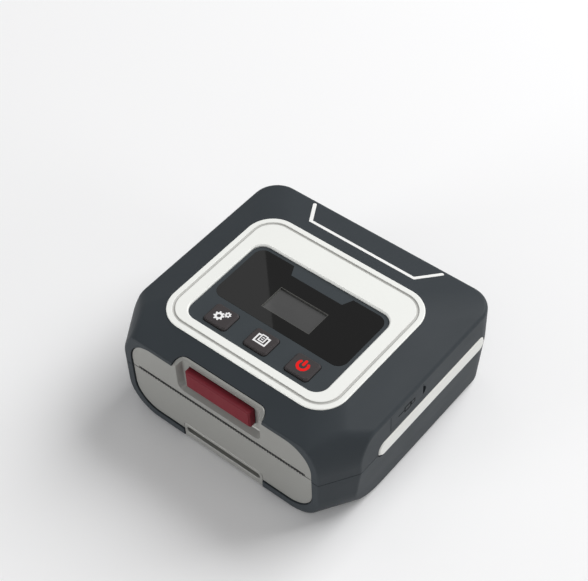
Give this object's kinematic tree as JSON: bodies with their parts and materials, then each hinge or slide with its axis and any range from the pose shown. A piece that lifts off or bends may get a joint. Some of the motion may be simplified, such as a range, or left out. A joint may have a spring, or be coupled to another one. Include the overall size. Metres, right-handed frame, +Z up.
{
  "type": "portable label printer",
  "caption": "Portable label printer with a hinged cover, roll bay, platen and thermal head, keys and display on top, release button in front.",
  "frame": {"origin": "on the table under the middle of the machine's bounding box", "axes": "+X to the machine's right side seen from its front, +Y to the rear, +Z up; the label slot and the release button face -Y"},
  "size_m": [0.1206, 0.1074, 0.0517],
  "materials": {
    "case": "fine matt texture",
    "pale_frame": "satin moulded",
    "slate": "glossy",
    "black_gloss": "glossy black window",
    "display": "clear display cover",
    "silver": "satin silver",
    "front_gray": "satin gray metallic",
    "red": "dark red satin",
    "key_gray": "semi gloss",
    "rubber": "matt",
    "inner_plastic": "matt black",
    "white_plastic": "matt white",
    "steel": "plated",
    "dark_steel": "blackened",
    "aluminium": "extruded",
    "ceramic": "glazed ceramic",
    "board": "circuit board lacquer",
    "chip": "moulded",
    "brass": "turned",
    "cell": "shrink sleeve"
  },
  "bodies": {
    "base": {"lower_case": "case", "lower_front_panel": "front_gray", "lower_trim": "silver", "trim_liner": "inner_plastic", "feet": "rubber", "base_screws": "steel", "battery_door": "case", "battery_pack": "cell", "driver_board": "board", "roll_tub": "inner_plastic", "gap_sensor": "chip", "gear_plate": "steel", "left_plate": "steel", "head_pivot": "steel", "motor": "steel", "hinge_pins": "steel", "head_springs": "steel", "lid_springs": "steel"},
    "motor_rotor": {"motor_shaft": "steel", "motor_pinion": "brass"},
    "idler": {"idler_gear": "white_plastic"},
    "head": {"head_bracket": "steel", "head_heat_sink": "aluminium", "thermal_head": "ceramic"},
    "guide_left": {"guide_left": "white_plastic", "rack_left": "white_plastic"},
    "guide_right": {"guide_right": "white_plastic", "rack_right": "white_plastic"},
    "guide_gear": {"guide_gear": "white_plastic"},
    "cover": {"upper_case": "case", "top_frame": "pale_frame", "control_panel": "slate", "black_lens": "black_gloss", "display_bezel": "silver", "display_glass": "display", "display_module": "inner_plastic", "display_board": "board", "key_switches": "chip", "rear_line": "pale_frame", "side_strip_left": "silver", "side_strip_right": "silver", "upper_front_panel": "front_gray", "tear_bar": "dark_steel", "cover_liner": "inner_plastic", "main_board": "board", "board_chips": "chip", "charging_port": "steel", "platen_frame": "steel", "platen_bushings": "white_plastic", "cover_screws": "steel", "latch_springs": "steel"},
    "platen": {"platen_shaft": "steel", "platen_rubber": "rubber", "platen_gear": "white_plastic"},
    "release": {"release_button": "red", "latch_slide": "inner_plastic"},
    "key_settings": {"key_settings": "key_gray"},
    "key_feed": {"key_feed": "key_gray"},
    "key_power": {"key_power": "key_gray"},
    "port_cover": {"port_cover": "case"}
  },
  "joints": [
    {"name": "cover_hinge", "type": "hinge", "parent": "base", "child": "cover", "pos_m": [0, 0.0503, 0.0283], "axis": [-1, 0, 0], "range_deg": [0, 90]},
    {"name": "button_press", "type": "slide", "parent": "cover", "child": "release", "axis": [0, 1, 0], "range_m": [0, 0.0022], "stiffness_N_per_m": 600, "springref_m": -0.002},
    {"name": "key_settings_press", "type": "slide", "parent": "cover", "child": "key_settings", "axis": [0, 0, -1], "range_m": [0, 0.0005], "stiffness_N_per_m": 1500, "springref_m": -0.0005},
    {"name": "key_feed_press", "type": "slide", "parent": "cover", "child": "key_feed", "axis": [0, 0, -1], "range_m": [0, 0.0005], "stiffness_N_per_m": 1500, "springref_m": -0.0005},
    {"name": "key_power_press", "type": "slide", "parent": "cover", "child": "key_power", "axis": [0, 0, -1], "range_m": [0, 0.0005], "stiffness_N_per_m": 1500, "springref_m": -0.0005},
    {"name": "port_cover_swing", "type": "hinge", "parent": "cover", "child": "port_cover", "pos_m": [0.0594, -0.01958, 0.0398], "axis": [0, 0, -1], "range_deg": [0, 95]},
    {"name": "platen_spin", "type": "hinge", "parent": "cover", "child": "platen", "pos_m": [0, -0.041, 0.032], "axis": [1, 0, 0], "continuous": true},
    {"name": "idler_spin", "type": "hinge", "parent": "base", "child": "idler", "pos_m": [0.0461, -0.03228, 0.01694], "axis": [1, 0, 0], "continuous": true},
    {"name": "motor_spin", "type": "hinge", "parent": "base", "child": "motor_rotor", "pos_m": [0.0461, -0.019, 0.0132], "axis": [1, 0, 0], "continuous": true},
    {"name": "head_tilt", "type": "hinge", "parent": "base", "child": "head", "pos_m": [0, -0.03, 0.0205], "axis": [1, 0, 0], "range_deg": [0, 3], "stiffness_Nm_per_rad": 0.25, "springref_deg": -5.73, "deforming": ["head_springs"]},
    {"name": "guide_left_slide", "type": "slide", "parent": "base", "child": "guide_left", "axis": [1, 0, 0], "range_m": [0, 0.026]},
    {"name": "guide_right_slide", "type": "slide", "parent": "base", "child": "guide_right", "axis": [-1, 0, 0], "range_m": [0, 0.026]},
    {"name": "guide_gear_spin", "type": "hinge", "parent": "base", "child": "guide_gear", "pos_m": [0, 0.012, 0.0053], "axis": [0, 0, 1], "range_deg": [0, 311]}
  ],
  "couplings": [
    {"joint": "idler_spin", "follows": "platen_spin", "ratio": -0.70588},
    {"joint": "motor_spin", "follows": "platen_spin", "ratio": 2},
    {"joint": "guide_right_slide", "follows": "guide_left_slide", "ratio": 1},
    {"joint": "guide_gear_spin", "follows": "guide_left_slide", "rad_per_m": 208.33}
  ]
}
